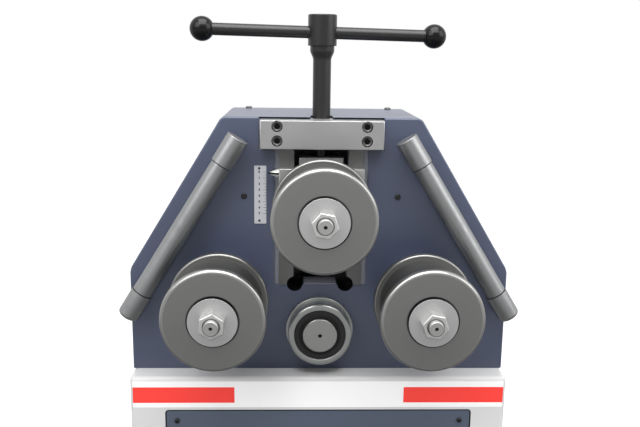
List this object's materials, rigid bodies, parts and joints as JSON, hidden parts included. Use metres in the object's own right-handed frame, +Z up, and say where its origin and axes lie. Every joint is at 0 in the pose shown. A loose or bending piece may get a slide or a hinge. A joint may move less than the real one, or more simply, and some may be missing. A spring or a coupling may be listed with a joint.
{
  "type": "profile bending machine",
  "caption": "Three-roll profile bending machine: geared lower rolls, screw-fed top roll with sliding cross handle, painted head with side bars on a closed stand.",
  "frame": {"origin": "on the floor under the middle of the whole machine's bounding box", "axes": "+Z up, the rolls face -Y, +X to the right of someone who stands in front of the rolls"},
  "size_m": [0.6686, 0.5892, 1.3011],
  "materials": {
    "head_paint": "satin blue-grey paint",
    "stand_paint": "satin light grey paint",
    "panel_paint": "satin blue-grey paint",
    "motor_paint": "semi-gloss blue-grey paint",
    "turned_steel": "turned",
    "bright_steel": "machined",
    "dark_steel": "oiled mill steel",
    "black_oxide": "black oxide",
    "gloss_black": "polished",
    "rubber": "moulded",
    "bronze": "bored",
    "cast_grey": "as cast",
    "aluminium": "anodised",
    "dark_plastic": "moulded"
  },
  "bodies": {
    "machine": {"base_cabinet": "stand_paint", "front_access_panel": "panel_paint", "mains_inlet_gland": "dark_plastic", "head_cover": "head_paint", "main_plate": "dark_steel", "rear_plate": "dark_steel", "bridge_block": "bright_steel", "bridge_screw_1": "black_oxide", "bridge_screw_2": "black_oxide", "bridge_screw_3": "black_oxide", "bridge_screw_4": "black_oxide", "thrust_ring": "bronze", "guide_strip_left": "turned_steel", "guide_strip_right": "turned_steel", "scale_plate": "aluminium", "side_bar_left": "bright_steel", "side_bar_right": "bright_steel", "side_bar_sleeve_upper_left": "bright_steel", "side_bar_sleeve_lower_left": "bright_steel", "side_bar_sleeve_upper_right": "bright_steel", "side_bar_sleeve_lower_right": "bright_steel", "bearing_housing_left": "cast_grey", "bearing_housing_right": "cast_grey", "drive_hub_ring": "turned_steel", "drive_shaft_seal": "rubber", "gear_reducer": "cast_grey", "motor_body": "motor_paint", "motor_fan_cowl": "dark_plastic", "motor_terminal_box": "dark_plastic"},
    "spindle": {"spindle_sleeve": "black_oxide"},
    "cross_handle": {"cross_bar": "black_oxide", "ball_knob_left": "gloss_black", "ball_knob_right": "gloss_black"},
    "carriage": {"carriage_block": "turned_steel", "carriage_bush": "bronze", "carriage_keeper_plate": "dark_steel", "lift_screw_rod": "bright_steel", "scale_pointer": "bright_steel"},
    "top_roll": {"top_shaft": "bright_steel", "top_roll_front_flange": "turned_steel", "top_roll_core": "turned_steel", "top_roll_rear_flange": "turned_steel", "top_washer": "bright_steel", "top_nut": "bright_steel"},
    "lower_left_roll": {"lower_left_shaft": "bright_steel", "lower_left_roll_front_flange": "turned_steel", "lower_left_roll_core": "turned_steel", "lower_left_roll_rear_flange": "turned_steel", "lower_left_washer": "bright_steel", "lower_left_nut": "bright_steel", "lower_left_gear": "dark_steel"},
    "lower_right_roll": {"lower_right_shaft": "bright_steel", "lower_right_roll_front_flange": "turned_steel", "lower_right_roll_core": "turned_steel", "lower_right_roll_rear_flange": "turned_steel", "lower_right_washer": "bright_steel", "lower_right_nut": "bright_steel", "lower_right_gear": "dark_steel"},
    "drive": {"drive_shaft": "bright_steel", "drive_pinion": "dark_steel"}
  },
  "joints": [
    {"name": "spindle_turn", "type": "hinge", "parent": "machine", "child": "spindle", "pos_m": [0, -0.05675, 1.1323], "axis": [0, 0, -1], "range_deg": [-720, 5040]},
    {"name": "cross_bar_slide", "type": "slide", "parent": "spindle", "child": "cross_handle", "axis": [0.9968, 0.0784, -0.0183], "range_m": [-0.142, 0.15]},
    {"name": "carriage_slide", "type": "slide", "parent": "machine", "child": "carriage", "axis": [0, 0, -1], "range_m": [-0.0101, 0.0701]},
    {"name": "top_roll_turn", "type": "hinge", "parent": "carriage", "child": "top_roll", "pos_m": [0, -0.09005, 0.997], "axis": [0, 1, 0], "continuous": true},
    {"name": "lower_left_turn", "type": "hinge", "parent": "machine", "child": "lower_left_roll", "pos_m": [-0.165, -0.09005, 0.8455], "axis": [0, 1, 0], "continuous": true},
    {"name": "lower_right_turn", "type": "hinge", "parent": "machine", "child": "lower_right_roll", "pos_m": [0.165, -0.09005, 0.8455], "axis": [0, 1, 0], "continuous": true},
    {"name": "drive_turn", "type": "hinge", "parent": "machine", "child": "drive", "pos_m": [0, -0.09005, 0.77356], "axis": [0, 1, 0], "continuous": true}
  ],
  "couplings": [
    {"joint": "carriage_slide", "follows": "spindle_turn", "m_per_rad": 0.00079577},
    {"joint": "lower_right_turn", "follows": "lower_left_turn", "ratio": 1},
    {"joint": "drive_turn", "follows": "lower_left_turn", "ratio": -2.6}
  ]
}
